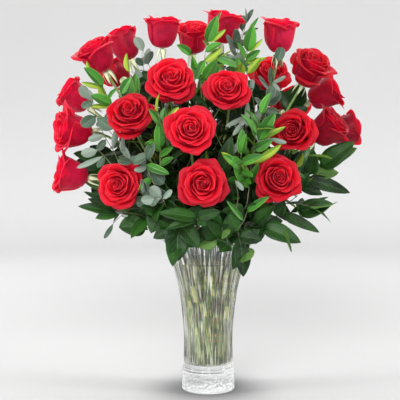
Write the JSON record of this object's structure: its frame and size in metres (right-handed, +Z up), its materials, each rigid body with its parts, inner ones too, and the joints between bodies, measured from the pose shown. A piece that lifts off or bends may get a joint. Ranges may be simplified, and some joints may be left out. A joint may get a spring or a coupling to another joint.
{
  "type": "roses in a vase",
  "caption": "Bouquet of long-stemmed red roses with ruscus, eucalyptus and salal foliage, standing in water in a flared and fluted clear glass vase.",
  "frame": {"origin": "middle of the vase's flat underside", "axes": "+Z up along the vase's axis, -Y towards the front of the bouquet"},
  "size_m": [0.6042, 0.4462, 0.7385],
  "materials": {
    "glass": "clear fluted crystal with a textured foot",
    "water": "clear",
    "petals": "velvety scarlet, darker towards the edges",
    "rose_stems": "satin green",
    "ruscus": "glossy bright green",
    "eucalyptus": "matt grey-green",
    "salal": "glossy dark green"
  },
  "bodies": {
    "root": {"vase": "glass", "water": "water", "rose_01_bloom": "petals", "rose_02_bloom": "petals", "rose_03_bloom": "petals", "rose_04_bloom": "petals", "rose_05_bloom": "petals", "rose_06_bloom": "petals", "rose_07_bloom": "petals", "rose_08_bloom": "petals", "rose_09_bloom": "petals", "rose_10_bloom": "petals", "rose_11_bloom": "petals", "rose_12_bloom": "petals", "rose_13_bloom": "petals", "rose_14_bloom": "petals", "rose_15_bloom": "petals", "rose_16_bloom": "petals", "rose_17_bloom": "petals", "rose_18_bloom": "petals", "rose_19_bloom": "petals", "rose_20_bloom": "petals", "rose_21_bloom": "petals", "rose_22_bloom": "petals", "rose_23_bloom": "petals", "rose_24_bloom": "petals", "rose_01_stem": "rose_stems", "rose_02_stem": "rose_stems", "rose_03_stem": "rose_stems", "rose_04_stem": "rose_stems", "rose_05_stem": "rose_stems", "rose_06_stem": "rose_stems", "rose_07_stem": "rose_stems", "rose_08_stem": "rose_stems", "rose_09_stem": "rose_stems", "rose_10_stem": "rose_stems", "rose_11_stem": "rose_stems", "rose_12_stem": "rose_stems", "rose_13_stem": "rose_stems", "rose_14_stem": "rose_stems", "rose_15_stem": "rose_stems", "rose_16_stem": "rose_stems", "rose_17_stem": "rose_stems", "rose_18_stem": "rose_stems", "rose_19_stem": "rose_stems", "rose_20_stem": "rose_stems", "rose_21_stem": "rose_stems", "rose_22_stem": "rose_stems", "rose_23_stem": "rose_stems", "rose_24_stem": "rose_stems", "ruscus_left": "ruscus", "ruscus_top": "ruscus", "ruscus_right": "ruscus", "eucalyptus_left": "eucalyptus", "eucalyptus_top": "eucalyptus", "eucalyptus_right": "eucalyptus", "salal_front_left": "salal", "salal_front_right": "salal", "salal_back_left": "salal", "salal_back_right": "salal"}
  },
  "joints": []
}
